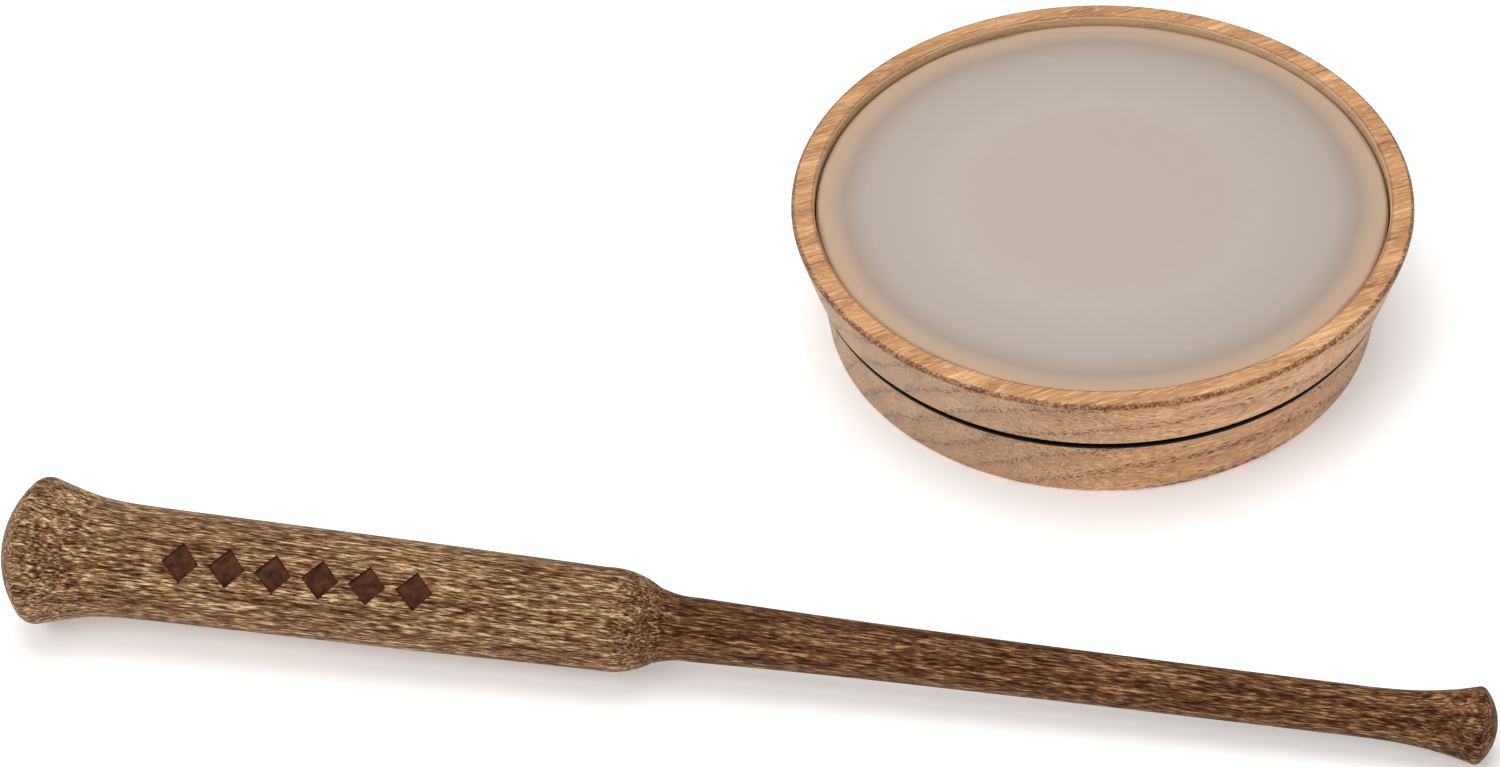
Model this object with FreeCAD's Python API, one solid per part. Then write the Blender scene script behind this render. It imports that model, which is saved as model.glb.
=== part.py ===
"""Pot-style friction turkey call with its striker.

A turned wooden pot holds a sound board on a pedestal and, above it, a glass
playing surface glued to a ledge.  A one-piece turned striker lies beside it.
Millimetres.  The origin is the centre of the pot's flat underside, +Z is up,
and the striker lies on the same level as the pot, along the -Y side.
"""
import FreeCAD, Part
import math
import os

V = FreeCAD.Vector
X_AXIS, Y_AXIS, Z_AXIS = V(1, 0, 0), V(0, 1, 0), V(0, 0, 1)
ORIGIN = V(0, 0, 0)

# ---- Pot: driving dimensions ------------------------------------------------
POT_HEIGHT = 20.7
RIM_RADIUS = 43.5            # widest, just under the rim
RIM_EDGE = 0.6               # rounding of the rim's outer edge
BORE_EDGE = 0.3              # rounding of the rim's inner edge
FLARE_RADIUS = 42.35         # outer wall half way up the flare
FLARE_FOOT_RADIUS = 41.1     # outer wall just above the waist
FLARE_FOOT_EDGE = 0.35
BASE_RADIUS = 39.0
BASE_EDGE = 1.0
WAIST_RADIUS = 40.1          # wall radius at the rubber ring
WAIST_HEIGHT = 10.5          # middle of the rubber ring
RING_SECTION = 1.2           # thickness of the rubber ring
FLOOR_THICKNESS = 3.2
CHAMBER_RADIUS = 37.0
CHAMBER_FILLET = 1.5

# ---- Sound holes ------------------------------------------------------------
SOUND_HOLES = 8
SOUND_HOLE_RADIUS = 2.9
SOUND_HOLE_CIRCLE = 27.9
FIRST_HOLE_ANGLE = 35.0
HOLE_CHAMFER = 0.25

# ---- Discs, pedestal and glue ----------------------------------------------
SURFACE_RADIUS = 40.0        # 80 mm playing surface
SURFACE_THICKNESS = 3.2
SURFACE_RECESS = 1.2         # below the rim
BORE_GAP = 0.25
BOARD_RADIUS = 34.93         # standard 2 3/4 inch sound board
BOARD_THICKNESS = 2.4
SEAMED_EDGE = 0.3            # small chamfer on the glass edges
CHAMBER_GAP = 4.8            # sound board to playing surface
PEDESTAL_OUTER = 20.0
PEDESTAL_INNER = 15.0
PEDESTAL_EDGE = 0.4
SURFACE_GLUE = 0.3
PEDESTAL_GLUE = 0.2
GLUE_MARGIN = 0.6            # how far a bead stays inside the faces it joins

# ---- Engraving --------------------------------------------------------------
ENGRAVING_DEPTH = 0.3
OUTER_LINE_RADIUS = 22.6
INNER_LINE_RADIUS = 8.6
LINE_WIDTH = 0.6
LEAVES = 12
LEAF_INNER = 10.4
LEAF_OUTER = 20.8
LEAF_WIDTH = 4.0

# ---- Striker ----------------------------------------------------------------
STRIKER_LENGTH = 196.1
BUTT_RADIUS = 9.85
BUTT_CORNER = 4.7            # distance of the butt's widest ring from its end
TIP_RADIUS = 4.9
TIP_CORNER = 2.4             # distance of the tip's widest ring from its end
STRIKER_END = V(-151.6, -42.6, 0)
STRIKER_TURN = -13.9         # about +Z
MARKS = 6
MARK_LENGTH = 5.0
MARK_HEIGHT = 5.2
MARK_PITCH = 6.3
FIRST_MARK = 26.3            # centre of the first mark from the butt end
MARK_TURN = 37.5             # how far round the handle from its top
MARK_FLOOR = (7.20, 6.80)    # radius under the marks, at the row's two ends

# ---- Heights worked out from the above --------------------------------------
SURFACE_TOP = POT_HEIGHT - SURFACE_RECESS
SURFACE_BOTTOM = SURFACE_TOP - SURFACE_THICKNESS
LEDGE_HEIGHT = SURFACE_BOTTOM - SURFACE_GLUE
BORE_RADIUS = SURFACE_RADIUS + BORE_GAP
BOARD_TOP = SURFACE_BOTTOM - CHAMBER_GAP
BOARD_BOTTOM = BOARD_TOP - BOARD_THICKNESS
PEDESTAL_TOP = BOARD_BOTTOM - PEDESTAL_GLUE
PEDESTAL_BOTTOM = FLOOR_THICKNESS + PEDESTAL_GLUE


def line(a, b):
    return Part.LineSegment(a, b).toShape()


def arc(a, middle, b):
    return Part.Arc(a, middle, b).toShape()


def corner(a, centre, b):
    """Quarter-like arc from a to b about centre."""
    radius = (a - centre).Length
    outward = (a - centre) + (b - centre)
    return arc(a, centre + outward.normalize() * radius, b)


def dome(edge, pole):
    """Arc of a circle centred on the X axis, from edge to the pole on that axis."""
    depth = pole.x - edge.x
    radius = (depth ** 2 + edge.y ** 2) / (2 * depth)
    half = math.asin(edge.y / radius) / 2
    return arc(edge, V(pole.x - radius * (1 - math.cos(half)), abs(radius) * abs(math.sin(half)), 0), pole)


def spline(points):
    curve = Part.BSplineCurve()
    curve.interpolate([V(*p) for p in points])
    return curve.toShape()


def revolve(edges, axis):
    return Part.Face(Part.Wire(edges)).revolve(ORIGIN, axis, 360)


def rz(r, z):
    return V(r, 0, z)


def ring(inner, outer, bottom, top):
    edges = [line(rz(inner, bottom), rz(outer, bottom)), line(rz(outer, bottom), rz(outer, top)),
             line(rz(outer, top), rz(inner, top)), line(rz(inner, top), rz(inner, bottom))]
    return revolve(edges, Z_AXIS)


def disc(radius, bottom, thickness):
    """Glass disc with both edges seamed."""
    top = bottom + thickness
    inset = radius - SEAMED_EDGE
    corners = [rz(0, bottom), rz(inset, bottom), rz(radius, bottom + SEAMED_EDGE),
               rz(radius, top - SEAMED_EDGE), rz(inset, top), rz(0, top)]
    edges = [line(a, b) for a, b in zip(corners, corners[1:] + corners[:1])]
    return revolve(edges, Z_AXIS)


# ---- Pot body ---------------------------------------------------------------
def turned_pot():
    half = RING_SECTION / 2
    base_flat, base_side = rz(BASE_RADIUS - BASE_EDGE, 0), rz(BASE_RADIUS, BASE_EDGE)
    groove_low = rz(WAIST_RADIUS, WAIST_HEIGHT - half)
    groove_deep = rz(WAIST_RADIUS - half, WAIST_HEIGHT)
    groove_high = rz(WAIST_RADIUS, WAIST_HEIGHT + half)
    shelf_height = WAIST_HEIGHT + half + 0.2
    shelf = rz(FLARE_FOOT_RADIUS - FLARE_FOOT_EDGE, shelf_height)
    foot = rz(FLARE_FOOT_RADIUS, shelf_height + FLARE_FOOT_EDGE)
    flare_top = rz(RIM_RADIUS, POT_HEIGHT - RIM_EDGE)
    flare_middle = rz(FLARE_RADIUS, (foot.z + flare_top.z) / 2)
    rim_outer, rim_inner = rz(RIM_RADIUS - RIM_EDGE, POT_HEIGHT), rz(BORE_RADIUS + BORE_EDGE, POT_HEIGHT)
    bore_top, bore_bottom = rz(BORE_RADIUS, POT_HEIGHT - BORE_EDGE), rz(BORE_RADIUS, LEDGE_HEIGHT)
    ledge = rz(CHAMBER_RADIUS, LEDGE_HEIGHT)
    wall_foot = rz(CHAMBER_RADIUS, FLOOR_THICKNESS + CHAMBER_FILLET)
    floor_edge = rz(CHAMBER_RADIUS - CHAMBER_FILLET, FLOOR_THICKNESS)
    floor_middle, base_middle = rz(0, FLOOR_THICKNESS), rz(0, 0)
    edges = [
        line(base_middle, base_flat),
        corner(base_flat, rz(base_flat.x, base_side.z), base_side),
        line(base_side, groove_low),
        arc(groove_low, groove_deep, groove_high),
        line(groove_high, shelf),
        corner(shelf, rz(shelf.x, foot.z), foot),
        arc(foot, flare_middle, flare_top),
        corner(flare_top, rz(rim_outer.x, flare_top.z), rim_outer),
        line(rim_outer, rim_inner),
        corner(rim_inner, rz(rim_inner.x, bore_top.z), bore_top),
        line(bore_top, bore_bottom),
        line(bore_bottom, ledge),
        line(ledge, wall_foot),
        corner(wall_foot, rz(floor_edge.x, wall_foot.z), floor_edge),
        line(floor_edge, floor_middle),
        line(floor_middle, base_middle),
    ]
    return revolve(edges, Z_AXIS)


def sound_holes():
    tools = []
    for i in range(SOUND_HOLES):
        angle = math.radians(FIRST_HOLE_ANGLE + i * 360 / SOUND_HOLES)
        x, y = SOUND_HOLE_CIRCLE * math.cos(angle), SOUND_HOLE_CIRCLE * math.sin(angle)
        drill = Part.makeCylinder(SOUND_HOLE_RADIUS, FLOOR_THICKNESS + 2, V(x, y, -1))
        mouth = Part.makeCone(SOUND_HOLE_RADIUS + HOLE_CHAMFER, SOUND_HOLE_RADIUS, HOLE_CHAMFER, V(x, y, 0))
        tools += [drill, mouth]
    return tools


def rosette():
    """Engraved underside: a ring of plain leaves between two turned lines."""
    tools = [ring(r - LINE_WIDTH / 2, r + LINE_WIDTH / 2, -1, ENGRAVING_DEPTH)
             for r in (INNER_LINE_RADIUS, OUTER_LINE_RADIUS)]
    root, end = V(LEAF_INNER, 0, -1), V(LEAF_OUTER, 0, -1)
    middle = (root + end) / 2
    side = V(0, LEAF_WIDTH / 2, 0)
    outline = Part.Wire([arc(root, middle + side, end), arc(end, middle - side, root)])
    leaf = Part.Face(outline).extrude(V(0, 0, 1 + ENGRAVING_DEPTH))
    for i in range(LEAVES):
        turned = leaf.copy()
        turned.rotate(ORIGIN, Z_AXIS, (i + 0.5) * 360 / LEAVES)
        tools.append(turned)
    return tools


def pot_body():
    return turned_pot().cut(sound_holes() + rosette())


# ---- Pieces inside and round the pot ----------------------------------------
def pedestal_ring():
    inner, outer, edge = PEDESTAL_INNER, PEDESTAL_OUTER, PEDESTAL_EDGE
    bottom, top = PEDESTAL_BOTTOM, PEDESTAL_TOP
    corners = [rz(inner, bottom), rz(outer, bottom), rz(outer, top - edge), rz(outer - edge, top),
               rz(inner + edge, top), rz(inner, top - edge)]
    edges = [line(a, b) for a, b in zip(corners, corners[1:] + corners[:1])]
    return revolve(edges, Z_AXIS)


def glue_bead(inner, outer, bottom, thickness):
    return ring(inner + GLUE_MARGIN, outer - GLUE_MARGIN, bottom, bottom + thickness)


def waist_ring():
    return Part.makeTorus(WAIST_RADIUS, RING_SECTION / 2, V(0, 0, WAIST_HEIGHT))


# ---- Striker ----------------------------------------------------------------
def turned_striker():
    """Profile along +X from the domed butt to the domed tip."""
    butt_flat = (BUTT_CORNER - 0.9, BUTT_RADIUS - 0.4, 0)
    butt_back = (BUTT_CORNER + 0.9, BUTT_RADIUS - 0.1, 0)
    handle_end = (81.3, 6.75, 0)
    shoulder_end = (88.5, 5.0, 0)
    cove_end = (93.8, 4.2, 0)
    neck = (180.3, 3.22, 0)
    tip_front = (STRIKER_LENGTH - TIP_CORNER - 0.5, TIP_RADIUS - 0.07, 0)
    tip_back = (STRIKER_LENGTH - TIP_CORNER + 0.7, TIP_RADIUS - 0.35, 0)
    tip_end = (STRIKER_LENGTH, 0, 0)
    edges = [
        dome(V(*butt_flat), ORIGIN),
        arc(V(*butt_flat), V(BUTT_CORNER, BUTT_RADIUS, 0), V(*butt_back)),
        spline([butt_back, (8.8, 8.85, 0), (12.5, 8.02, 0), (17.3, 7.62, 0), (31, 7.43, 0), (57, 7.15, 0),
                handle_end]),
        arc(V(*handle_end), V(86, 6.2, 0), V(*shoulder_end)),
        arc(V(*shoulder_end), V(90.5, 4.42, 0), V(*cove_end)),
        spline([cove_end, (104, 3.92, 0), (119, 3.64, 0), (149, 3.36, 0), neck]),
        spline([neck, (183.9, 3.34, 0), (187.3, 3.65, 0), (190.7, 4.22, 0), tip_front]),
        arc(V(*tip_front), V(STRIKER_LENGTH - TIP_CORNER + 0.15, TIP_RADIUS, 0), V(*tip_back)),
        dome(V(*tip_back), V(*tip_end)),
        line(V(*tip_end), ORIGIN),
    ]
    return revolve(edges, X_AXIS)


def handle_marks():
    """A row of plain lozenges sunk into one side of the handle."""
    row = (MARKS - 1) * MARK_PITCH + MARK_LENGTH
    start = FIRST_MARK - MARK_LENGTH / 2
    core = Part.makeCone(MARK_FLOOR[0], MARK_FLOOR[1], row + 2, V(start - 1, 0, 0), X_AXIS)
    tools = []
    for i in range(MARKS):
        middle = FIRST_MARK + i * MARK_PITCH
        corners = [V(middle - MARK_LENGTH / 2, 0, 0), V(middle, -MARK_HEIGHT / 2, 0),
                   V(middle + MARK_LENGTH / 2, 0, 0), V(middle, MARK_HEIGHT / 2, 0)]
        outline = Part.Wire([line(a, b) for a, b in zip(corners, corners[1:] + corners[:1])])
        prism = Part.Face(outline).extrude(V(0, 0, 2 * BUTT_RADIUS)).cut(core)
        prism.rotate(ORIGIN, X_AXIS, MARK_TURN)
        tools.append(prism)
    return tools


def striker():
    """The striker rests on its two flared ends, so it slopes a little down to its tip."""
    shape = turned_striker().cut(handle_marks())
    span = STRIKER_LENGTH - TIP_CORNER - BUTT_CORNER
    slope = math.asin((BUTT_RADIUS - TIP_RADIUS) / span)
    lift = BUTT_RADIUS / math.cos(slope) + BUTT_CORNER * math.sin(slope)
    shape.rotate(ORIGIN, Y_AXIS, math.degrees(slope))
    shape.rotate(ORIGIN, Z_AXIS, STRIKER_TURN)
    shape.translate(STRIKER_END)
    shape.translate(V(0, 0, lift))
    shape.translate(V(0, 0, -shape.optimalBoundingBox().ZMin))
    return shape


PARTS = {
    "pot_body": pot_body(),
    "pedestal_glue": glue_bead(PEDESTAL_INNER, PEDESTAL_OUTER, FLOOR_THICKNESS, PEDESTAL_GLUE),
    "pedestal_ring": pedestal_ring(),
    "sound_board_glue": glue_bead(PEDESTAL_INNER, PEDESTAL_OUTER, PEDESTAL_TOP, PEDESTAL_GLUE),
    "sound_board": disc(BOARD_RADIUS, BOARD_BOTTOM, BOARD_THICKNESS),
    "surface_glue": glue_bead(CHAMBER_RADIUS, SURFACE_RADIUS, LEDGE_HEIGHT, SURFACE_GLUE),
    "playing_surface": disc(SURFACE_RADIUS, SURFACE_BOTTOM, SURFACE_THICKNESS),
    "waist_ring": waist_ring(),
    "striker": striker(),
}

os.makedirs("parts", exist_ok=True)
for name, shape in PARTS.items():
    shape.exportStep("parts/" + name + ".step")
    box = shape.BoundBox
    print(name, "valid", shape.isValid(), "solids", len(shape.Solids), "volume", round(shape.Volume, 1),
          "z", round(box.ZMin, 3), round(box.ZMax, 3))
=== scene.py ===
"""Looks of a pot-style turkey call: a turned pot, its frosted playing surface and its striker."""
import bmesh
import bpy
import math
from mathutils import Matrix, Vector
from mathutils.geometry import interpolate_bezier


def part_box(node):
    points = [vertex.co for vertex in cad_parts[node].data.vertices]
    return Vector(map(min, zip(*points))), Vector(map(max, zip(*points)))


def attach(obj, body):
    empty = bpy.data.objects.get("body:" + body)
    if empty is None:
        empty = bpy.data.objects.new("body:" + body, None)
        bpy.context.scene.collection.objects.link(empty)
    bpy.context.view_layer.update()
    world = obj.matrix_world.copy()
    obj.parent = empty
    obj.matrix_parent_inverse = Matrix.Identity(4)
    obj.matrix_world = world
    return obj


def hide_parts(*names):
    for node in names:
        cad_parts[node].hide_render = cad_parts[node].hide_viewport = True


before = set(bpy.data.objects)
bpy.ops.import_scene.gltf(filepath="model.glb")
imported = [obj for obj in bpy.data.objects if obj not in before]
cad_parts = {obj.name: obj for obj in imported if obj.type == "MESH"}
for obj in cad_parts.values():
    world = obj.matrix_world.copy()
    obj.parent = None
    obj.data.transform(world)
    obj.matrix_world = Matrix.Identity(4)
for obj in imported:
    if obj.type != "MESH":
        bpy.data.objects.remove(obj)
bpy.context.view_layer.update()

MM = 0.001


def turned_size(node):
    """Outer radius, lowest and highest level of a turned node that stands on the pot's axis."""
    low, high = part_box(node)
    return high.x, low.z, high.z


# ---- Sizes -------------------------------------------------------------------
RIM_RADIUS, _, POT_HEIGHT = turned_size("pot_body")
SURFACE_RADIUS, SURFACE_BOTTOM, SURFACE_TOP = turned_size("playing_surface")
BOARD_RADIUS, BOARD_BOTTOM, BOARD_TOP = turned_size("sound_board")
PEDESTAL_RADIUS, PEDESTAL_BOTTOM, PEDESTAL_TOP = turned_size("pedestal_ring")
RING_RADIUS, RING_BOTTOM, RING_TOP = turned_size("waist_ring")
BEAD_RADIUS, LEDGE_HEIGHT, _ = turned_size("surface_glue")
_, FLOOR_TOP, _ = turned_size("pedestal_glue")

RIM_EDGE = 0.6 * MM
BORE_RADIUS = SURFACE_RADIUS + 0.25 * MM
BORE_EDGE = 0.3 * MM
CHAMBER_RADIUS = 37.0 * MM
CHAMBER_FILLET = 1.5 * MM
BASE_RADIUS = 39.0 * MM
BASE_EDGE = 1.0 * MM
FLARE_RADIUS = 42.35 * MM
FOOT_RADIUS = 41.1 * MM
FOOT_EDGE = 0.35 * MM
FOOT_GAP = 0.3 * MM
RING_HALF = (RING_TOP - RING_BOTTOM) / 2
WAIST_HEIGHT = (RING_TOP + RING_BOTTOM) / 2
WAIST_RADIUS = RING_RADIUS - RING_HALF
SEAMED_EDGE = 0.3 * MM
PEDESTAL_WALL = 5.0 * MM
PEDESTAL_EDGE = 0.4 * MM
GLUE_MARGIN = 0.6 * MM

SOUND_HOLES = 8
HOLE_RADIUS = 2.9 * MM
HOLE_CIRCLE = 27.9 * MM
HOLE_CHAMFER = 0.25 * MM
FIRST_HOLE = math.radians(35)

ENGRAVING_DEPTH = 0.3 * MM
LINE_RADII = (8.6 * MM, 22.6 * MM)
LINE_WIDTH = 0.6 * MM
LEAVES = 12
LEAF_INNER = 10.4 * MM
LEAF_OUTER = 20.8 * MM
LEAF_WIDTH = 4.0 * MM

STRIKER_LENGTH = 196.1 * MM
BUTT_RADIUS = 9.85 * MM
BUTT_CORNER = 4.7 * MM
TIP_RADIUS = 4.9 * MM
TIP_CORNER = 2.4 * MM
STRIKER_END = Vector((-151.6 * MM, -42.6 * MM, 0))
STRIKER_TURN = math.radians(-13.9)
STRIKER_SLOPE = math.asin((BUTT_RADIUS - TIP_RADIUS)
                          / (STRIKER_LENGTH - TIP_CORNER - BUTT_CORNER))
STRIKER_LIFT = BUTT_RADIUS / math.cos(STRIKER_SLOPE) + BUTT_CORNER * math.sin(STRIKER_SLOPE)
STRIKER_PLACE = (Matrix.Translation(STRIKER_END + Vector((0, 0, STRIKER_LIFT)))
                 @ Matrix.Rotation(STRIKER_TURN, 4, "Z") @ Matrix.Rotation(STRIKER_SLOPE, 4, "Y"))
SHOULDER = 86 * MM

# Distance along the striker and radius there, in millimetres
HANDLE_LINE = ((8.8, 8.85), (12.5, 8.02), (17.3, 7.62), (31, 7.43), (57, 7.15), (81.3, 6.75))
SHAFT_LINE = ((104, 3.92), (119, 3.64), (149, 3.36), (180.3, 3.22))
TIP_LINE = ((183.9, 3.34), (187.3, 3.65), (190.7, 4.22))

MARKS = 6
MARK_LENGTH = 5.0 * MM
MARK_HEIGHT = 5.2 * MM
MARK_PITCH = 6.3 * MM
FIRST_MARK = 26.3 * MM
MARK_TURN = math.radians(37.5)
MARK_FLOOR = 7.2 * MM
MARK_TAPER = -0.4 / 36.5

SHARP = math.radians(32)
CUTTER_REACH = 1 * MM
EDGE_MARGIN = 1 * MM
MERGE = 0.0001 * MM
POT_SEGMENTS = 256
INNER_SEGMENTS = 192
STRIKER_SEGMENTS = 144
LINE_SEGMENTS = 128
HOLE_SEGMENTS = 64


# ---- Half sections -----------------------------------------------------------
def circle_centre(a, b, c):
    """Centre of the circle through three points of a half section."""
    ab, ac = b - a, c - a
    twice_area = 2 * (ab.x * ac.z - ab.z * ac.x)
    return a + Vector((ac.z * ab.length_squared - ab.z * ac.length_squared, 0,
                       ab.x * ac.length_squared - ac.x * ab.length_squared)) / twice_area


class Section:
    """Half section of a turned piece. Its points are (distance from the axis, level)."""

    def __init__(self, r, level):
        self.bm = bmesh.new()
        self.end = self.bm.verts.new((r, 0, level))

    def line(self, r, level):
        """Straight run to a point."""
        self.end = bmesh.ops.extrude_vert_indiv(self.bm, verts=[self.end])["verts"][0]
        self.end.co = (r, 0, level)
        return self

    def flat(self, r, level, margin=0.08 * MM):
        """Straight run with a point close to either end, so that its shading stays flat."""
        start, end = self.end.co.copy(), Vector((r, 0, level))
        step = (end - start).normalized() * margin
        for point in (start + step, end - step):
            self.line(point.x, point.z)
        return self.line(r, level)

    def arc(self, through, end, steps=8):
        """Arc through a point to an end point."""
        start = self.end.co.copy()
        middle, last = (Vector((r, 0, level)) for r, level in (through, end))
        centre = circle_centre(start, middle, last)
        side = math.copysign(1, (middle - start).cross(last - middle).y)
        turn = (start - centre).angle(middle - centre) + (middle - centre).angle(last - centre)
        spun = bmesh.ops.spin(self.bm, geom=[self.end], cent=centre, axis=(0, side, 0), angle=turn,
                              steps=steps)
        self.end = next(g for g in spun["geom_last"] if isinstance(g, bmesh.types.BMVert))
        return self

    def corner(self, r, level, steps=7):
        """Quarter round that leaves an upright or level run and turns into the other kind."""
        start = self.end.co
        before = start - self.end.link_edges[0].other_vert(self.end).co
        level_first = abs(before.x) > abs(before.z)
        centre = Vector((start.x, 0, level)) if level_first else Vector((r, 0, start.z))
        outward = (start - centre) + (Vector((r, 0, level)) - centre)
        through = centre + outward.normalized() * (start - centre).length
        return self.arc((through.x, through.z), (r, level), steps)

    def flow(self, points, steps=10):
        """Smooth curve through points."""
        knots = [self.end.co.copy()] + [Vector((r, 0, level)) for r, level in points]
        inner_slopes = [c - a for a, c in zip(knots, knots[2:])]
        slopes = [knots[1] - knots[0]] + inner_slopes + [knots[-1] - knots[-2]]
        for (a, out), (b, into) in zip(zip(knots, slopes), zip(knots[1:], slopes[1:])):
            reach = (b - a).length / 3
            span = interpolate_bezier(a, a + out.normalized() * reach,
                                      b - into.normalized() * reach, b, steps)
            for point in span[1:]:
                self.line(point.x, point.z)
        return self

    def close(self):
        """Joins the end to the start."""
        bmesh.ops.remove_doubles(self.bm, verts=self.bm.verts, dist=MERGE)
        return self

    def spin(self, segments):
        """Turned mesh. Ends off the axis are closed with a flat face."""
        bmesh.ops.spin(self.bm, geom=self.bm.verts[:] + self.bm.edges[:], cent=(0, 0, 0),
                       axis=(0, 0, 1), angle=2 * math.pi, steps=segments, use_merge=True)
        bmesh.ops.remove_doubles(self.bm, verts=self.bm.verts, dist=MERGE)
        rims = [edge for edge in self.bm.edges if edge.is_boundary]
        if rims:
            bmesh.ops.holes_fill(self.bm, edges=rims, sides=0)
        return self.bm


def dome_middle(pole, edge, radius):
    """Half-way point of a round dome between its pole on the axis and its edge."""
    depth = abs(edge - pole)
    ball = (depth ** 2 + radius ** 2) / (2 * depth)
    half = math.asin(radius / ball) / 2
    return ball * math.sin(half), pole + math.copysign(ball * (1 - math.cos(half)), edge - pole)


# ---- Mesh helpers ------------------------------------------------------------
def make_piece(bm, name, material):
    """Object at the origin from a bmesh, with smooth faces that point outwards."""
    bmesh.ops.recalc_face_normals(bm, faces=bm.faces)
    mesh = bpy.data.meshes.new(name)
    bm.to_mesh(mesh)
    bm.free()
    mesh.shade_smooth()
    mesh.set_sharp_from_angle(angle=SHARP)
    mesh.materials.append(material)
    piece = bpy.data.objects.new(name, mesh)
    bpy.context.scene.collection.objects.link(piece)
    return piece


def carve(piece, bm, material):
    """Cuts the solids of a bmesh out of a piece. The cut faces take the material."""
    cutter = make_piece(bm, "cutter", material)
    cut = piece.modifiers.new("cut", "BOOLEAN")
    cut.solver = "EXACT"
    cut.material_mode = "TRANSFER"
    cut.object = cutter
    bpy.context.view_layer.update()
    finished = piece.evaluated_get(bpy.context.evaluated_depsgraph_get())
    result = bpy.data.meshes.new_from_object(finished)
    piece.modifiers.remove(cut)
    piece.data = result
    bpy.data.objects.remove(cutter)
    result.set_sharp_from_angle(angle=SHARP)


def raise_faces(bm, faces, height):
    """Pulls faces up into solids of one height."""
    raised = bmesh.ops.extrude_face_region(bm, geom=faces)["geom"]
    bmesh.ops.translate(bm, verts=[g for g in raised if isinstance(g, bmesh.types.BMVert)],
                        vec=(0, 0, height))


def turns(count, first=0.0):
    """Even turns about the pot's axis."""
    return [Matrix.Rotation(first + i * 2 * math.pi / count, 4, "Z") for i in range(count)]


def copies(bm, places):
    """One bmesh with a copy of bm at each place."""
    whole, single = bmesh.new(), bpy.data.meshes.new("single")
    bm.to_mesh(single)
    bm.free()
    for place in places:
        whole.from_mesh(single)
        fresh = whole.verts[-len(single.vertices):]
        bmesh.ops.transform(whole, matrix=place, verts=fresh)
    bpy.data.meshes.remove(single)
    return whole


# ---- Material helpers --------------------------------------------------------
def rgb(r, g, b):
    """Linear colour from display values of 0 to 255."""
    shares = [value / 255 for value in (r, g, b)]
    return (*(v / 12.92 if v <= 0.04045 else ((v + 0.055) / 1.055) ** 2.4 for v in shares), 1)


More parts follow.
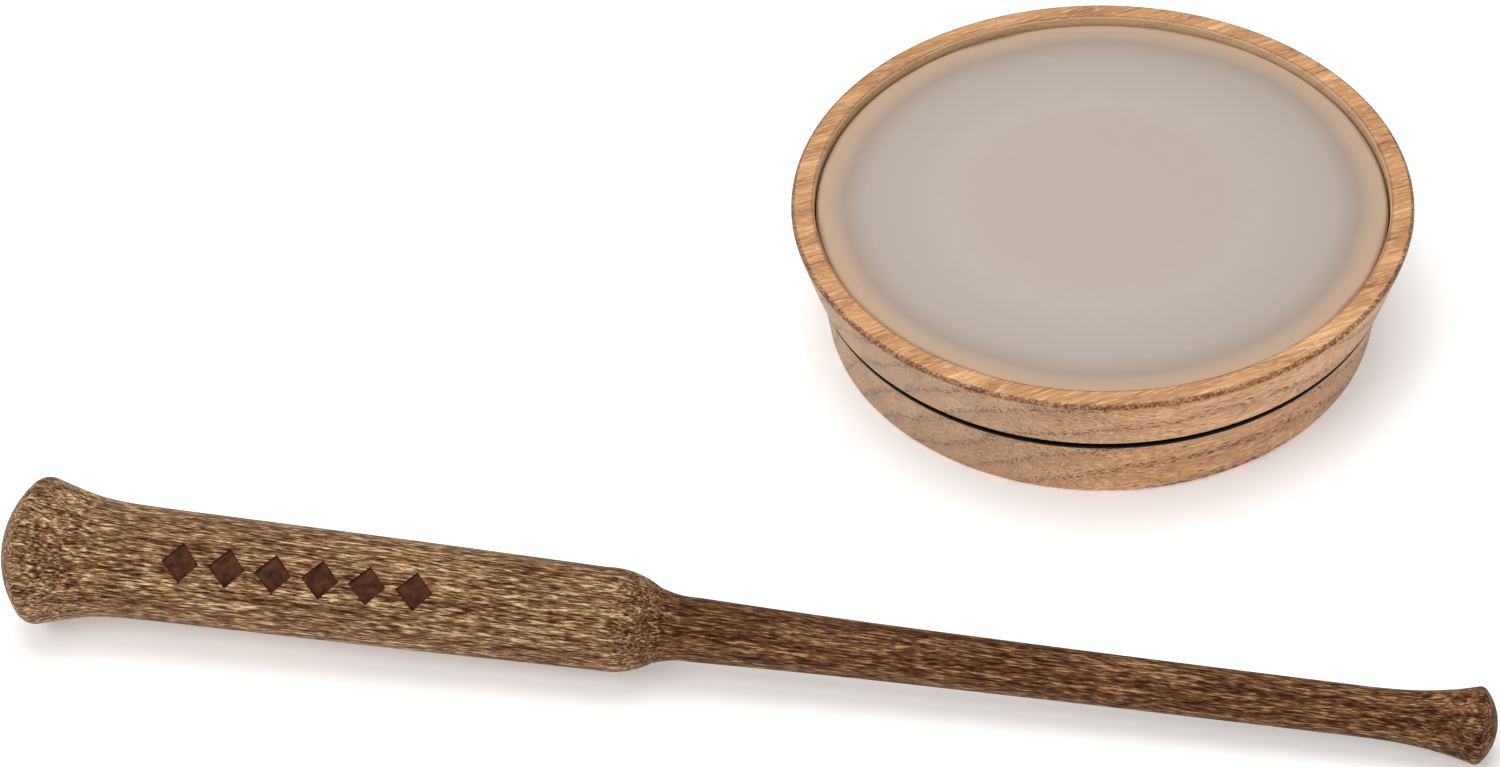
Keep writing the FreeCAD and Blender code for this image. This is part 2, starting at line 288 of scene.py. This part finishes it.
class Finish:
    """A material whose nodes are added in short calls."""

    def __init__(self, name):
        self.material = bpy.data.materials.new(name)
        self.material.use_nodes = True
        self.tree = self.material.node_tree
        self.shader = self.tree.nodes["Principled BSDF"]

    def add(self, kind, inputs=(), **settings):
        """New node with its inputs fed and its settings made."""
        node = self.tree.nodes.new("ShaderNode" + kind)
        for key, value in settings.items():
            setattr(node, key, value)
        for key, value in dict(inputs).items():
            self.feed(node.inputs[key], value)
        return node

    def feed(self, socket, value):
        if isinstance(value, bpy.types.NodeSocket):
            self.tree.links.new(value, socket)
        else:
            socket.default_value = value

    def set(self, **values):
        """Feeds the shader's sockets, whose names are written with underscores."""
        for key, value in values.items():
            self.feed(self.shader.inputs[key.replace("_", " ")], value)

    def place(self, origin=(0, 0, 0), turn_y=0.0, turn_z=0.0):
        """Millimetres from an origin, in turned axes. Grain runs along the turned X."""
        inputs = {"Vector": self.add("TexCoord").outputs["Object"], "Location": origin,
                  "Rotation": (0, turn_y, turn_z), "Scale": (MM, MM, MM)}
        return self.add("Mapping", inputs, vector_type="TEXTURE").outputs["Vector"]

    def math(self, operation, a, b=0.0):
        return self.add("Math", {0: a, 1: b}, operation=operation).outputs[0]

    def vector(self, operation, a, b=(0, 0, 0)):
        node = self.add("VectorMath", {0: a, 1: b}, operation=operation)
        return node.outputs["Value" if operation in ("LENGTH", "DOT_PRODUCT") else "Vector"]

    def times(self, a, b):
        return self.math("MULTIPLY", a, b)

    def plus(self, a, b):
        return self.math("ADD", a, b)

    def steps(self, value, low, high, start=0.0, end=1.0):
        """Smooth step from start to end as value goes from low to high."""
        inputs = {"Value": value, "From Min": low, "From Max": high, "To Min": start, "To Max": end}
        return self.add("MapRange", inputs, interpolation_type="SMOOTHSTEP").outputs["Result"]

    def noise(self, vector, per_mm, detail=2.0, roughness=0.5):
        """Noise with so many blotches a millimetre, along the three axes."""
        stretched = self.vector("MULTIPLY", vector, per_mm)
        return self.add("TexNoise", {"Vector": stretched, "Scale": 1.0, "Detail": detail,
                                     "Roughness": roughness}).outputs["Fac"]

    def mix(self, factor, a, b, blend="MIX"):
        node = self.add("Mix", {0: factor, 6: a, 7: b}, data_type="RGBA", blend_type=blend)
        return node.outputs[2]

    def ramp(self, factor, stops):
        node = self.add("ValToRGB", {"Fac": factor})
        elements = node.color_ramp.elements
        while len(elements) < len(stops):
            elements.new(0.5)
        for element, (position, colour) in zip(elements, stops):
            element.position = position
            element.color = colour
        return node.outputs["Color"]

    def bump(self, height, depth, strength=1.0):
        self.set(Normal=self.add("Bump", {"Height": height, "Distance": depth,
                                          "Strength": strength}).outputs["Normal"])

    def vessels(self, grain, width, length, density, share=0.36):
        """Open vessels: slim cells along the grain, of which a share given by density is hollow."""
        stretched = self.vector("MULTIPLY", grain, (1 / length, 1 / width, 1 / width))
        cells = self.add("TexVoronoi", {"Vector": stretched, "Scale": 1.0, "Randomness": 0.9})
        chosen = self.add("SeparateColor", {"Color": cells.outputs["Color"]}).outputs["Red"]
        present = self.steps(self.math("SUBTRACT", density, chosen), -0.04, 0.04)
        return self.times(present, self.steps(cells.outputs["Distance"], share, share * 0.5))

    def years(self, grain, pith, spacing, wander):
        """Place within each year's growth, from 0 to 1, in layers round a pith along the grain."""
        drift = self.noise(grain, (0.012, 0.05, 0.05), 2.0)
        across = self.vector("SUBTRACT", self.vector("MULTIPLY", grain, (0, 1, 1)), (0, *pith))
        depth = self.plus(self.vector("LENGTH", across), self.times(drift, wander))
        return self.math("FRACT", self.math("DIVIDE", depth, spacing))


# ---- Materials ---------------------------------------------------------------
def pot_wood():
    """Tan ring-porous hardwood. A row of dark vessels starts each year's growth."""
    f = Finish("pot_wood")
    turn = math.radians(18)
    grain = f.place((0.007, 0.003, 0.011), turn_z=turn)
    year = f.years(grain, pith=(-92, -104), spacing=4.4, wander=8.0)
    early = f.math("SUBTRACT", f.steps(year, 0.0, 0.03), f.steps(year, 0.10, 0.34))
    late = f.math("SUBTRACT", f.steps(year, 0.6, 0.98), f.steps(year, 0.98, 1.0))
    broad = f.noise(grain, (0.02, 0.16, 0.16))
    fibre = f.noise(grain, (0.14, 2.2, 2.2), detail=4.0, roughness=0.65)
    fleck = f.noise(grain, (0.45, 3.0, 3.0))
    tone = f.plus(f.times(fibre, 0.66), f.times(broad, 0.34))
    colour = f.ramp(tone, [(0.36, rgb(148, 98, 56)), (0.45, rgb(190, 138, 90)),
                           (0.55, rgb(206, 154, 106)), (0.65, rgb(236, 190, 142))])
    colour = f.mix(f.times(early, 0.35), colour, rgb(152, 98, 58))
    colour = f.mix(f.times(late, 0.35), colour, rgb(160, 106, 64))
    normal = f.add("TexCoord").outputs["Normal"]
    planed = f.steps(f.add("SeparateXYZ", {"Vector": normal}).outputs["Z"], 0.75, 0.97, 1.0, 0.3)
    crowd = f.plus(f.times(early, 0.95), 0.04)
    large = f.times(f.vessels(grain, width=0.30, length=1.5, density=crowd, share=0.48), planed)
    small = f.times(f.vessels(grain, width=0.24, length=1.4, density=0.50), planed)
    colour = f.mix(f.times(small, 0.62), colour, rgb(112, 70, 40))
    colour = f.mix(f.times(large, 0.92), colour, rgb(66, 34, 14))
    colour = f.mix(f.steps(fleck, 0.55, 0.68, 0.0, 0.5), colour, rgb(240, 204, 162))
    along = (math.cos(turn), math.sin(turn), 0)
    facing = f.math("ABSOLUTE", f.vector("DOT_PRODUCT", normal, along))
    colour = f.mix(f.steps(facing, 0.2, 0.95, 0.0, 0.5), colour, rgb(152, 130, 110))
    place = f.place()
    level = f.add("SeparateXYZ", {"Vector": place}).outputs["Z"]
    radius = f.vector("LENGTH", f.vector("MULTIPLY", place, (1, 1, 0)))
    bore, ledge = BORE_RADIUS / MM, LEDGE_HEIGHT / MM
    corner, top = (RIM_RADIUS - RIM_EDGE) / MM, (POT_HEIGHT - RIM_EDGE) / MM
    # Painted shade on the rim's rounded outer edge, broken up into dark pores by the noise.
    rim_edge_pores_and_shade = f.times(f.steps(radius, corner, corner + 0.2), f.steps(level, top - 0.15, top + 0.15))
    pits = f.noise(place, (2.6, 2.6, 2.6), detail=3.0, roughness=0.7)
    pitted = f.steps(pits, 0.42, 0.56, 0.15, 1.0)
    colour = f.mix(f.times(f.times(rim_edge_pores_and_shade, pitted), 0.85), colour, rgb(96, 54, 24))
    recess = f.steps(level, ledge, ledge + 0.5)
    # Painted shade: a darker band over the bore's rounded top edge, where it turns down into the
    # recess.
    bore_edge_shade = f.times(recess, f.steps(radius, bore + 0.5, bore + 0.3))
    colour = f.mix(f.times(bore_edge_shade, 0.45), colour, rgb(116, 70, 38))
    # Painted light: the upright bore wall is lightened to lift its shade.
    bore_wall_light = f.times(recess, f.steps(radius, bore + 0.15, bore + 0.05))
    colour = f.mix(f.times(bore_wall_light, 0.75), colour, rgb(232, 200, 160))
    roughness = f.plus(f.times(fibre, 0.2), f.plus(f.times(large, 0.2), 0.42))
    f.set(Base_Color=colour, Roughness=roughness, Specular_IOR_Level=0.4)
    hollow = f.plus(large, f.times(small, 0.5))
    f.bump(f.math("SUBTRACT", f.times(fibre, 0.5), hollow), 0.09 * MM)
    return f.material


def striker_wood():
    """Brown, coarse-pored wood with short dark and light dashes, redder on the shaft."""
    f = Finish("striker_wood")
    grain = f.place(STRIKER_PLACE.translation, STRIKER_SLOPE, STRIKER_TURN)
    along = f.add("SeparateXYZ", {"Vector": grain}).outputs["X"]
    shaft = f.steps(along, SHOULDER / MM - 3, SHOULDER / MM + 5)
    year = f.years(grain, pith=(-38, -52), spacing=2.6, wander=5.0)
    dark_year = f.math("SUBTRACT", f.steps(year, 0.0, 0.2), f.steps(year, 0.35, 0.8))
    dash = f.noise(grain, (0.48, 4.4, 4.4), detail=3.0, roughness=0.62)
    streak = f.noise(grain, (0.045, 1.1, 1.1))
    tone = f.plus(f.times(dash, 0.76), f.times(streak, 0.24))
    colour = f.ramp(tone, [(0.41, rgb(56, 26, 6)), (0.47, rgb(112, 77, 45)),
                           (0.55, rgb(158, 121, 82)), (0.62, rgb(234, 198, 156))])
    colour = f.mix(f.times(dark_year, 0.22), colour, rgb(88, 48, 20))
    crowd = f.plus(f.times(dark_year, 0.3), 0.28)
    coarse = f.vessels(grain, width=0.25, length=2.3, density=crowd, share=0.42)
    fine = f.vessels(grain, width=0.19, length=1.3, density=0.42, share=0.38)
    colour = f.mix(f.times(fine, 0.60), colour, rgb(58, 26, 6))
    colour = f.mix(f.times(coarse, 0.85), colour, rgb(36, 13, 2))
    colour = f.mix(f.times(shaft, 0.9), colour, rgb(194, 172, 154), "MULTIPLY")
    f.set(Base_Color=colour, Roughness=f.plus(f.times(dash, 0.25), 0.5), Specular_IOR_Level=0.1)
    hollow = f.plus(coarse, f.times(fine, 0.5))
    f.bump(f.math("SUBTRACT", f.times(dash, 0.6), hollow), 0.07 * MM)
    return f.material


def burnt_wood(name, dark, light):
    """Scorched floor of an engraving."""
    f = Finish(name)
    patch = f.noise(f.place(), (0.9, 0.9, 0.9), detail=4.0, roughness=0.6)
    f.set(Base_Color=f.ramp(patch, [(0.35, dark), (0.65, light)]),
          Roughness=f.plus(f.times(patch, 0.2), 0.62), Specular_IOR_Level=0.15)
    f.bump(patch, 0.12 * MM)
    return f.material


def frosted_glass():
    """Glass sanded matt. The ledge under its edge shows as a tan band, painted shade of the chamber
    as grey.
    """
    f = Finish("frosted_glass")
    place = f.place()
    radius = f.vector("LENGTH", f.vector("MULTIPLY", place, (1, 1, 0)))
    cloud = f.noise(place, (0.05, 0.05, 0.05))
    uneven = f.plus(radius, f.times(f.math("SUBTRACT", cloud, 0.5), 2.0))
    reach = SURFACE_RADIUS / MM
    # Tones by radius: grey painted shade over the chamber, darker towards the chamber's wall, the
    # tan ledge, and a dark painted shadow over the gap round the edge.
    tones_and_painted_shade = [(0, (183, 168, 161)), (15, (182, 167, 160)), (22, (183, 170, 162)),
              (28, (177, 165, 157)), (33, (174, 160, 151)), (36, (164, 144, 129)),
              (37.6, (182, 155, 131)), (39.3, (188, 160, 134)), (40, (140, 108, 80))]
    stops = [(r / reach, rgb(*shade)) for r, shade in tones_and_painted_shade]
    colour = f.ramp(f.math("DIVIDE", uneven, reach), stops)
    mottle = f.noise(place, (0.35, 0.35, 0.35), detail=3.0)
    colour = f.mix(f.steps(mottle, 0.3, 0.7, 0.0, 0.10), colour, rgb(172, 156, 148))
    f.set(Base_Color=colour, Roughness=f.plus(f.times(mottle, 0.08), 0.42), IOR=1.5)
    f.bump(f.noise(place, (4, 4, 4), detail=3.0), 0.01 * MM, strength=0.4)
    return f.material


def clear_glass():
    """Plain glass of the sound board."""
    f = Finish("board_glass")
    cloud = f.noise(f.place(), (0.2, 0.2, 0.2))
    f.set(Base_Color=f.ramp(cloud, [(0.3, rgb(168, 172, 168)), (0.7, rgb(186, 188, 182))]),
          Roughness=f.plus(f.times(cloud, 0.1), 0.1), Transmission_Weight=0.6, IOR=1.5)
    return f.material


def rubber():
    """Glossy black rubber, a little uneven round the waist."""
    f = Finish("black_rubber")
    wave = f.noise(f.place(), (0.35, 0.35, 0.35))
    f.set(Base_Color=f.ramp(wave, [(0.3, rgb(1, 1, 1)), (0.7, rgb(5, 5, 5))]),
          Roughness=f.plus(f.times(wave, 0.16), 0.14), Specular_IOR_Level=0.06)
    f.bump(wave, 0.12 * MM, strength=0.6)
    return f.material


def glue():
    """Cured adhesive, slightly milky."""
    f = Finish("glue")
    cloud = f.noise(f.place(), (0.6, 0.6, 0.6), detail=3.0)
    f.set(Base_Color=f.ramp(cloud, [(0.3, rgb(206, 196, 176)), (0.7, rgb(226, 218, 200))]),
          Roughness=f.plus(f.times(cloud, 0.2), 0.3))
    f.bump(cloud, 0.1 * MM, strength=0.4)
    return f.material


def pedestal_wood():
    """Bare pale wood of the pedestal."""
    f = Finish("pedestal_wood")
    grain = f.place(turn_z=math.radians(70))
    fibre = f.noise(grain, (0.15, 2.4, 2.4), detail=4.0, roughness=0.6)
    f.set(Base_Color=f.ramp(fibre, [(0.3, rgb(176, 136, 94)), (0.7, rgb(222, 186, 144))]),
          Roughness=f.plus(f.times(fibre, 0.2), 0.5))
    f.bump(fibre, 0.08 * MM)
    return f.material


# ---- Pot ---------------------------------------------------------------------
def pot_section():
    """From the underside up the outer wall, over the rim and down to the chamber's floor."""
    shelf = RING_TOP + FOOT_GAP
    foot_top, flare_top = shelf + FOOT_EDGE, POT_HEIGHT - RIM_EDGE
    rim_corner = RIM_EDGE * (1 - math.sqrt(0.5))
    chamber_edge = CHAMBER_RADIUS - CHAMBER_FILLET
    base_face = BASE_RADIUS - BASE_EDGE
    section = Section(base_face - EDGE_MARGIN, 0).line(base_face, 0)
    section.corner(BASE_RADIUS, BASE_EDGE, 9)
    section.flat(WAIST_RADIUS, RING_BOTTOM)
    section.arc((WAIST_RADIUS - RING_HALF, WAIST_HEIGHT), (WAIST_RADIUS, RING_TOP), 14)
    section.line(WAIST_RADIUS, shelf).line(FOOT_RADIUS - FOOT_EDGE, shelf)
    section.corner(FOOT_RADIUS, foot_top)
    section.arc((FLARE_RADIUS, (foot_top + flare_top) / 2), (RIM_RADIUS, flare_top), 24)
    section.arc((RIM_RADIUS - rim_corner, POT_HEIGHT - rim_corner),
                (RIM_RADIUS - RIM_EDGE, POT_HEIGHT))
    section.flat(BORE_RADIUS + BORE_EDGE, POT_HEIGHT)
    section.corner(BORE_RADIUS, POT_HEIGHT - BORE_EDGE)
    section.line(BORE_RADIUS, LEDGE_HEIGHT).line(CHAMBER_RADIUS, LEDGE_HEIGHT)
    section.line(CHAMBER_RADIUS, FLOOR_TOP + CHAMBER_FILLET)
    section.corner(chamber_edge, FLOOR_TOP)
    return section.line(chamber_edge - EDGE_MARGIN, FLOOR_TOP)


def sound_holes():
    """One drill with a chamfering shoulder for each sound hole."""
    drill = Section(0, -CUTTER_REACH)
    drill.line(HOLE_RADIUS + HOLE_CHAMFER + CUTTER_REACH, -CUTTER_REACH)
    drill.line(HOLE_RADIUS, HOLE_CHAMFER).line(HOLE_RADIUS, FLOOR_TOP + CUTTER_REACH)
    drill.line(0, FLOOR_TOP + CUTTER_REACH)
    out = Matrix.Translation((HOLE_CIRCLE, 0, 0))
    places = [turn @ out for turn in turns(SOUND_HOLES, FIRST_HOLE)]
    return copies(drill.spin(HOLE_SEGMENTS), places)


def leaves():
    """Ring of pointed leaves, from below the underside to the engraving's floor."""
    bm = bmesh.new()
    length, half, middle = LEAF_OUTER - LEAF_INNER, LEAF_WIDTH / 2, (LEAF_INNER + LEAF_OUTER) / 2
    sweep = (length ** 2 / 4 + half ** 2) / (2 * half)
    angle = 2 * math.asin(length / 2 / sweep)
    for side in (1, -1):
        point = bm.verts.new((LEAF_INNER, 0, -CUTTER_REACH))
        bmesh.ops.spin(bm, geom=[point], cent=(middle, side * (half - sweep), 0),
                       axis=(0, 0, -side), angle=angle, steps=18)
    bmesh.ops.remove_doubles(bm, verts=bm.verts, dist=MERGE)
    face = bmesh.ops.contextual_create(bm, geom=bm.edges[:])["faces"]
    raise_faces(bm, face, CUTTER_REACH + ENGRAVING_DEPTH)
    return copies(bm, turns(LEAVES, math.pi / LEAVES))


def turned_line(radius):
    """Ring that cuts one engraved line into the underside."""
    inner, outer = radius - LINE_WIDTH / 2, radius + LINE_WIDTH / 2
    ring = Section(inner, -CUTTER_REACH).line(outer, -CUTTER_REACH).line(outer, ENGRAVING_DEPTH)
    ring.line(inner, ENGRAVING_DEPTH).line(inner, -CUTTER_REACH)
    return ring.close().spin(LINE_SEGMENTS)


def turned_pot(wood, burnt):
    """Pot with its sound holes and the engraving of its underside."""
    pot = make_piece(pot_section().spin(POT_SEGMENTS), "turned_pot", wood)
    carve(pot, sound_holes(), wood)
    carve(pot, leaves(), burnt)
    for radius in LINE_RADII:
        carve(pot, turned_line(radius), burnt)
    return pot


def disc(name, radius, bottom, top, material):
    """Round glass with both edges seamed."""
    face = radius - SEAMED_EDGE
    section = Section(0, bottom).flat(face, bottom).line(radius, bottom + SEAMED_EDGE)
    section.line(radius, top - SEAMED_EDGE).line(face, top).flat(0, top)
    return make_piece(section.spin(POT_SEGMENTS), name, material)


def glue_bead(name, inner, outer, bottom, top, material):
    """Bead that bulges a little from between the faces that it joins."""
    middle, bulge = (bottom + top) / 2, (top - bottom) / 3
    section = Section(inner, bottom).line(outer, bottom)
    section.arc((outer + bulge, middle), (outer, top), 6)
    section.line(inner, top).arc((inner - bulge, middle), (inner, bottom), 6)
    return make_piece(section.close().spin(INNER_SEGMENTS), name, material)


def pedestal(material):
    """Low ring that holds the sound board, eased on its upper edges."""
    inner, outer, bottom = PEDESTAL_RADIUS - PEDESTAL_WALL, PEDESTAL_RADIUS, PEDESTAL_BOTTOM
    top, edge = PEDESTAL_TOP, PEDESTAL_EDGE
    section = Section(inner, bottom).line(outer, bottom).line(outer, top - edge)
    section.corner(outer - edge, top).flat(inner + edge, top)
    section.corner(inner, top - edge).line(inner, bottom)
    return make_piece(section.close().spin(INNER_SEGMENTS), "pedestal", material)


def rubber_ring(material):
    """Round ring stretched into the groove of the waist."""
    section = Section(WAIST_RADIUS, RING_BOTTOM)
    section.arc((WAIST_RADIUS + RING_HALF, WAIST_HEIGHT), (WAIST_RADIUS, RING_TOP), 14)
    section.arc((WAIST_RADIUS - RING_HALF, WAIST_HEIGHT), (WAIST_RADIUS, RING_BOTTOM), 14)
    return make_piece(section.close().spin(POT_SEGMENTS), "rubber_ring", material)


# ---- Striker -----------------------------------------------------------------
def in_metres(line):
    """Points of a section from distances along the striker and radii in millimetres."""
    return [(r * MM, along * MM) for along, r in line]


def striker_section():
    """From the domed butt along the handle, over the shoulder and down the shaft to the tip."""
    butt_edge, butt_side = BUTT_CORNER - 0.9 * MM, BUTT_RADIUS - 0.4 * MM
    tip_widest = STRIKER_LENGTH - TIP_CORNER
    tip_edge, tip_side = tip_widest + 0.7 * MM, TIP_RADIUS - 0.35 * MM
    section = Section(0, 0)
    section.arc(dome_middle(0, butt_edge, butt_side), (butt_side, butt_edge), 20)
    section.arc((BUTT_RADIUS, BUTT_CORNER), (BUTT_RADIUS - 0.1 * MM, BUTT_CORNER + 0.9 * MM), 10)
    section.flow(in_metres(HANDLE_LINE))
    section.arc((6.2 * MM, SHOULDER), (5.0 * MM, SHOULDER + 2.5 * MM), 14)
    section.arc((4.42 * MM, SHOULDER + 4.5 * MM), (4.2 * MM, SHOULDER + 7.8 * MM), 12)
    section.flow(in_metres(SHAFT_LINE))
    section.flow(in_metres(TIP_LINE) + [(TIP_RADIUS - 0.07 * MM, tip_widest - 0.5 * MM)])
    section.arc((TIP_RADIUS, tip_widest + 0.15 * MM), (tip_side, tip_edge))
    return section.arc(dome_middle(STRIKER_LENGTH, tip_edge, tip_side), (0, STRIKER_LENGTH), 14)


def mark_cutters():
    """Row of lozenge plugs bent round the handle, whose inner faces follow its taper."""
    lozenge = bmesh.new()
    bmesh.ops.create_grid(lozenge, x_segments=12, y_segments=12, size=math.sqrt(0.5))
    bmesh.ops.rotate(lozenge, verts=lozenge.verts, matrix=Matrix.Rotation(math.pi / 4, 3, "Z"))
    bmesh.ops.scale(lozenge, verts=lozenge.verts, vec=(MARK_LENGTH / 2, MARK_HEIGHT / 2, 1))
    raise_faces(lozenge, lozenge.faces[:], CUTTER_REACH)
    row = copies(lozenge, [Matrix.Translation((i * MARK_PITCH, 0, 0)) for i in range(MARKS)])
    for vert in row.verts:
        depth = MARK_FLOOR + MARK_TAPER * vert.co.x + vert.co.z
        turn = MARK_TURN - vert.co.y / MARK_FLOOR
        vert.co = (FIRST_MARK + vert.co.x, -depth * math.sin(turn), depth * math.cos(turn))
    return row


def striker(wood, burnt):
    """Striker lying on its butt and tip beside the pot, with its marks."""
    piece = make_piece(striker_section().spin(STRIKER_SEGMENTS), "turned_striker", wood)
    piece.data.transform(Matrix.Rotation(math.pi / 2, 4, "Y"))
    carve(piece, mark_cutters(), burnt)
    piece.data.transform(STRIKER_PLACE)
    return piece


# ---- Stage, light and camera -------------------------------------------------
FLOOR_REACH = 6
FLOOR_DROP = 0.02 * MM
FLOOR_GLOW = 0.28
WORLD_LIGHT = 0.45
LIT_SPOT = Vector((-0.03, -0.04, 0))
CAMERA_PLACE = (-51.1 * MM, -375.3 * MM, 342.3 * MM)
CAMERA_DIP = math.radians(43.256)
CAMERA_ROLL = math.radians(-4.402)
FOCAL_LENGTH = 84.4


def floor_material():
    """Matt pale floor that is clear from below, so that the pot's underside shows."""
    f = Finish("floor")
    f.set(Base_Color=(0.9, 0.9, 0.9, 1), Roughness=0.9, Specular_IOR_Level=0.1,
          Emission_Color=(1, 1, 1, 1), Emission_Strength=FLOOR_GLOW)
    below = f.add("NewGeometry").outputs["Backfacing"]
    both = f.add("MixShader", {0: below, 1: f.shader.outputs[0],
                               2: f.add("BsdfTransparent").outputs[0]})
    f.feed(f.tree.nodes["Material Output"].inputs["Surface"], both.outputs[0])
    return f.material


def floor():
    """Round floor just under the object. It blocks no light from below."""
    bm = bmesh.new()
    bmesh.ops.create_circle(bm, cap_ends=True, segments=128, radius=FLOOR_REACH)
    bmesh.ops.translate(bm, verts=bm.verts, vec=(0, 0, -FLOOR_DROP))
    piece = make_piece(bm, "floor", floor_material())
    piece.visible_shadow = False


def softbox(name, place, width, power):
    """Round soft light that faces the middle of the object."""
    light = bpy.data.lights.new(name, "AREA")
    light.shape = "DISK"
    light.size = width
    light.energy = power
    lamp = bpy.data.objects.new(name, light)
    lamp.location = place
    lamp.rotation_euler = (LIT_SPOT - lamp.location).to_track_quat("-Z", "Y").to_euler()
    lamp.visible_camera = False
    bpy.context.scene.collection.objects.link(lamp)


def studio():
    """White surroundings and three softboxes."""
    world = bpy.data.worlds.new("studio")
    world.use_nodes = True
    background = world.node_tree.nodes["Background"].inputs
    background["Color"].default_value = (1, 1, 1, 1)
    background["Strength"].default_value = WORLD_LIGHT
    bpy.context.scene.world = world
    softbox("overhead", (-0.05, 0.10, 0.8), width=0.7, power=3.9)
    softbox("key", (-0.45, -0.35, 0.55), width=0.4, power=1.5)
    softbox("below", (0, 0, -0.7), width=0.9, power=1.6)


def camera():
    """Camera that looks down on the object from the front."""
    lens = bpy.data.cameras.new("camera")
    lens.lens = FOCAL_LENGTH
    lens.sensor_width = 36
    lens.clip_start = 0.01
    body = bpy.data.objects.new("camera", lens)
    body.matrix_world = (Matrix.Translation(CAMERA_PLACE)
                         @ Matrix.Rotation(math.pi / 2 - CAMERA_DIP, 4, "X")
                         @ Matrix.Rotation(CAMERA_ROLL, 4, "Z"))
    bpy.context.scene.collection.objects.link(body)
    bpy.context.scene.camera = body


# ---- Assembly ----------------------------------------------------------------
def stand_in(piece, body, node):
    """Shows a piece in a node's place."""
    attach(piece, body)
    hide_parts(node)


def build():
    """Makes all nine pieces."""
    bead = glue()
    engraving = burnt_wood("engraving", rgb(96, 68, 34), rgb(134, 102, 58))
    marks = burnt_wood("handle_marks", rgb(46, 20, 8), rgb(88, 50, 26))
    inner, outer = PEDESTAL_RADIUS - PEDESTAL_WALL + GLUE_MARGIN, PEDESTAL_RADIUS - GLUE_MARGIN
    ledge = CHAMBER_RADIUS + GLUE_MARGIN
    stand_in(turned_pot(pot_wood(), engraving), "pot", "pot_body")
    stand_in(disc("frosted_disc", SURFACE_RADIUS, SURFACE_BOTTOM, SURFACE_TOP, frosted_glass()),
             "pot", "playing_surface")
    stand_in(disc("board_disc", BOARD_RADIUS, BOARD_BOTTOM, BOARD_TOP, clear_glass()),
             "pot", "sound_board")
    stand_in(pedestal(pedestal_wood()), "pot", "pedestal_ring")
    stand_in(rubber_ring(rubber()), "pot", "waist_ring")
    stand_in(glue_bead("pedestal_bead", inner, outer, FLOOR_TOP, PEDESTAL_BOTTOM, bead),
             "pot", "pedestal_glue")
    stand_in(glue_bead("board_bead", inner, outer, PEDESTAL_TOP, BOARD_BOTTOM, bead),
             "pot", "sound_board_glue")
    stand_in(glue_bead("surface_bead", ledge, BEAD_RADIUS, LEDGE_HEIGHT, SURFACE_BOTTOM, bead),
             "pot", "surface_glue")
    stand_in(striker(striker_wood(), marks), "striker", "striker")


build()
floor()
studio()
camera()
bpy.context.scene.view_settings.view_transform = "Standard"
